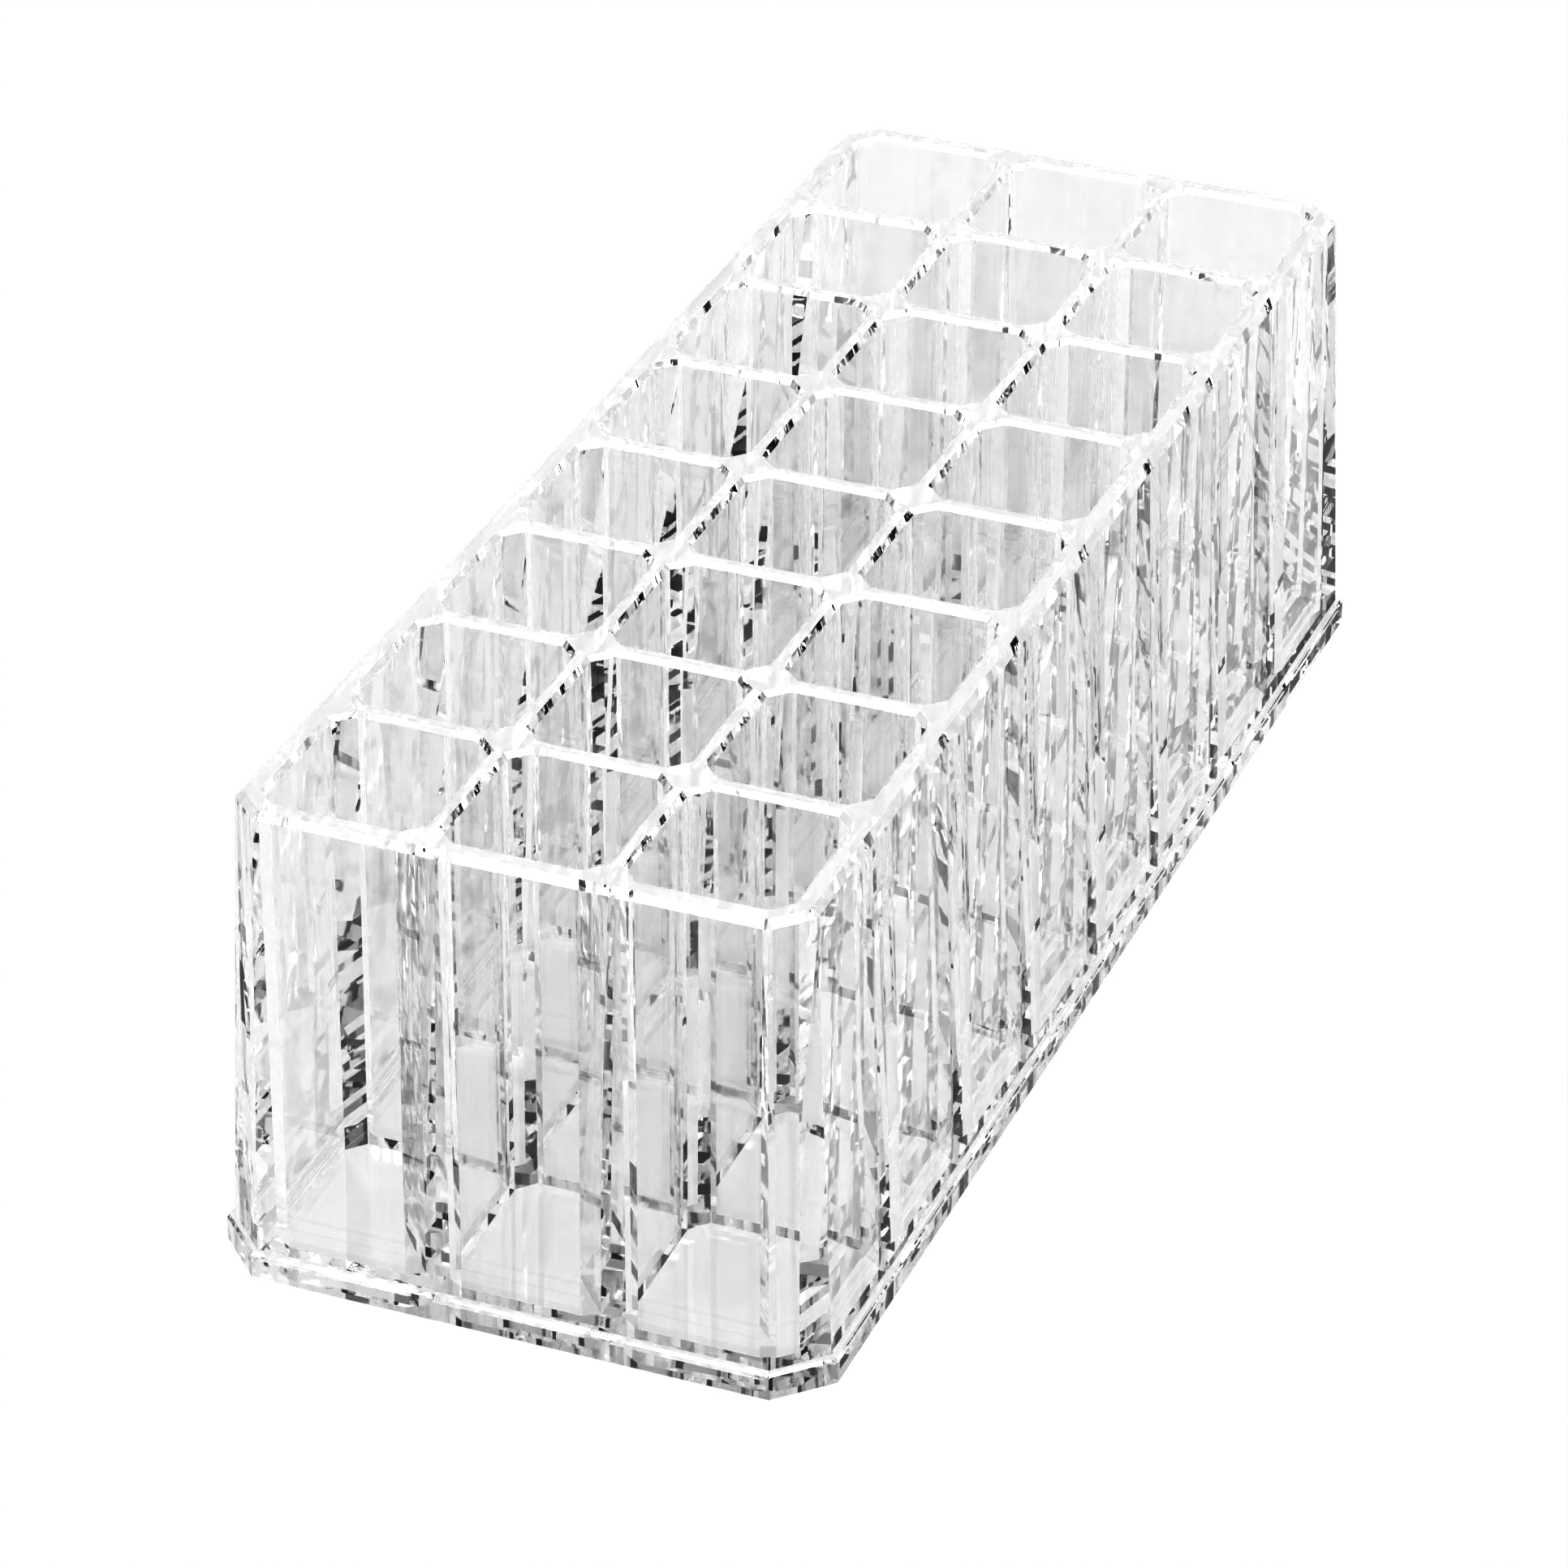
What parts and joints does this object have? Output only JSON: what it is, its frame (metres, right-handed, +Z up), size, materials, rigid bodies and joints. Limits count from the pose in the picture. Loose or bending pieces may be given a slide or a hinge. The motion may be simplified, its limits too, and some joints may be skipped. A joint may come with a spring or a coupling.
{
  "type": "vanity organizer",
  "caption": "Clear plastic vanity organizer: a low open-topped block of nearly square upright cells for lipsticks, with cut corners and a flanged base.",
  "frame": {"origin": "middle of the underside, on the surface that the organizer stands on", "axes": "+X across the three columns of cells, +Y along the eight rows towards the rear, +Z up"},
  "size_m": [0.09, 0.2364, 0.072],
  "materials": {
    "clear_plastic": "clear, polished"
  },
  "bodies": {
    "root": {"base_tray": "clear_plastic", "front_wall": "clear_plastic", "rear_wall": "clear_plastic", "left_wall": "clear_plastic", "right_wall": "clear_plastic", "long_divider_1": "clear_plastic", "long_divider_2": "clear_plastic", "cross_divider_1": "clear_plastic", "cross_divider_2": "clear_plastic", "cross_divider_3": "clear_plastic", "cross_divider_4": "clear_plastic", "cross_divider_5": "clear_plastic", "cross_divider_6": "clear_plastic", "cross_divider_7": "clear_plastic"}
  },
  "joints": []
}
